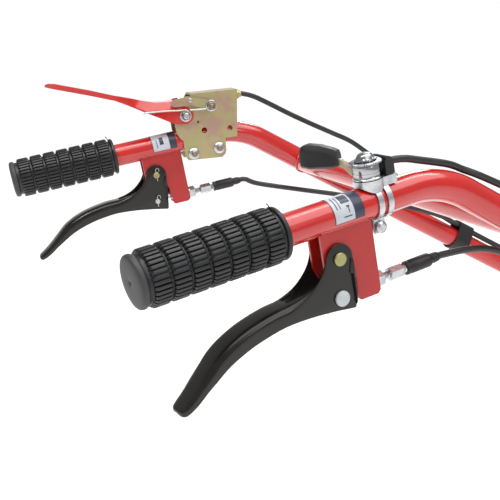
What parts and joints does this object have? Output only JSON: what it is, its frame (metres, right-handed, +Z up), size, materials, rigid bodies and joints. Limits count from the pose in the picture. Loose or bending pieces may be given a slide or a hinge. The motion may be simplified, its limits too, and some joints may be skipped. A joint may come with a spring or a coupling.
{
  "type": "tiller handlebar",
  "caption": "Walk-behind tiller handlebar: two gripped tubes with steering levers, clutch lever, throttle, control cables and front mounting plate.",
  "frame": {"origin": "centre of the mounting plate's front face", "axes": "+Y forward, out of the plate's face and away from the grips; +X to the operator's right; +Z up"},
  "size_m": [0.5888, 0.9318, 0.4469],
  "materials": {
    "red_paint": "gloss paint",
    "black_rubber": "moulded rubber",
    "black_paint": "satin paint",
    "black_plastic": "moulded plastic",
    "yellow_zinc": "yellow-passivated zinc plate",
    "white_zinc": "bright zinc plate",
    "chrome": "polished",
    "steel_wire": "drawn wire",
    "cable_sheath": "smooth sheath"
  },
  "bodies": {
    "frame": {"right_handle_bar": "red_paint", "left_handle_bar": "red_paint", "cross_tube": "red_paint", "mount_plate": "red_paint", "right_grip": "black_rubber", "left_grip": "black_rubber", "right_lever_bracket": "red_paint", "left_lever_bracket": "red_paint", "right_lever_pivot_pin": "yellow_zinc", "left_lever_pivot_pin": "yellow_zinc", "right_pivot_cotter": "steel_wire", "left_pivot_cotter": "steel_wire", "right_adjuster_screw": "white_zinc", "left_adjuster_screw": "white_zinc", "right_jam_nut": "white_zinc", "left_jam_nut": "white_zinc", "right_cable_boot": "black_rubber", "left_cable_boot": "black_rubber", "clutch_bracket": "yellow_zinc", "clutch_clamp_bolt_rear": "white_zinc", "clutch_clamp_bolt_front": "white_zinc", "clutch_cable_stop": "yellow_zinc", "clutch_pivot_bolt": "white_zinc", "clutch_pivot_nut": "white_zinc", "lock_link_bolt": "white_zinc", "throttle_strap": "white_zinc", "throttle_clamp_screw": "white_zinc", "throttle_base": "white_zinc", "throttle_rim_washer": "chrome", "throttle_pivot_bolt": "chrome", "throttle_cable_block": "black_plastic", "right_cable_strap": "black_rubber", "left_cable_strap": "black_rubber", "right_cable_anchor": "red_paint", "left_cable_anchor": "red_paint", "right_steering_ferrule": "white_zinc", "left_steering_ferrule": "white_zinc", "throttle_cable_ferrule": "white_zinc", "clutch_cable_ferrule": "white_zinc", "right_steering_cable": "cable_sheath", "left_steering_cable": "cable_sheath", "clutch_cable": "cable_sheath", "throttle_cable": "cable_sheath"},
    "right_lever": {"right_steering_lever": "black_paint", "right_cable_pin": "white_zinc", "right_cable_pin_cotter": "steel_wire"},
    "left_lever": {"left_steering_lever": "black_paint", "left_cable_pin": "white_zinc", "left_cable_pin_cotter": "steel_wire"},
    "right_yoke": {"right_cable_yoke": "steel_wire"},
    "left_yoke": {"left_cable_yoke": "steel_wire"},
    "clutch_lever": {"clutch_lever": "red_paint", "clutch_cross_pin": "red_paint"},
    "clutch_wire": {"clutch_cable_wire": "steel_wire"},
    "lock_link": {"clutch_lock_link": "yellow_zinc", "lock_link_rivet": "white_zinc"},
    "throttle_lever": {"throttle_hub": "chrome", "throttle_arm": "yellow_zinc", "throttle_knob": "black_plastic"}
  },
  "joints": [
    {"name": "right_lever_squeeze", "type": "hinge", "parent": "frame", "child": "right_lever", "pos_m": [0.25131, -0.75095, 0.27139], "axis": [-0.9929, -0.1193, 0], "range_deg": [0, 21.5], "stiffness_Nm_per_rad": 0.9, "springref_deg": -11.46},
    {"name": "right_cable_pull", "type": "slide", "parent": "frame", "child": "right_yoke", "axis": [0.117, -0.9736, -0.1959], "range_m": [0, 0.0135]},
    {"name": "left_lever_squeeze", "type": "hinge", "parent": "frame", "child": "left_lever", "pos_m": [-0.25131, -0.75095, 0.27139], "axis": [-0.9929, 0.1193, 0], "range_deg": [0, 18], "stiffness_Nm_per_rad": 0.9, "springref_deg": -11.46},
    {"name": "left_cable_pull", "type": "slide", "parent": "frame", "child": "left_yoke", "axis": [-0.117, -0.9736, -0.1959], "range_m": [0, 0.0135]},
    {"name": "clutch_lever_squeeze", "type": "hinge", "parent": "frame", "child": "clutch_lever", "pos_m": [-0.24679, -0.71336, 0.34575], "axis": [0.9929, -0.1193, 0], "range_deg": [0, 22], "stiffness_Nm_per_rad": 0.8, "springref_deg": -14.32},
    {"name": "clutch_cable_pull", "type": "slide", "parent": "frame", "child": "clutch_wire", "axis": [-0.1183, -0.9846, -0.1288], "range_m": [0, 0.0075]},
    {"name": "lock_link_swing", "type": "hinge", "parent": "frame", "child": "lock_link", "pos_m": [-0.24293, -0.68117, 0.35804], "axis": [-0.9929, 0.1193, 0], "range_deg": [0, 25]},
    {"name": "throttle_turn", "type": "hinge", "parent": "frame", "child": "throttle_lever", "pos_m": [0.24718, -0.71657, 0.33694], "axis": [0.0234, -0.1945, 0.9806], "range_deg": [-35, 35]}
  ],
  "couplings": [
    {"joint": "right_cable_pull", "follows": "right_lever_squeeze", "m_per_rad": 0.0323},
    {"joint": "left_cable_pull", "follows": "left_lever_squeeze", "m_per_rad": 0.0321},
    {"joint": "clutch_cable_pull", "follows": "clutch_lever_squeeze", "m_per_rad": 0.0151}
  ]
}
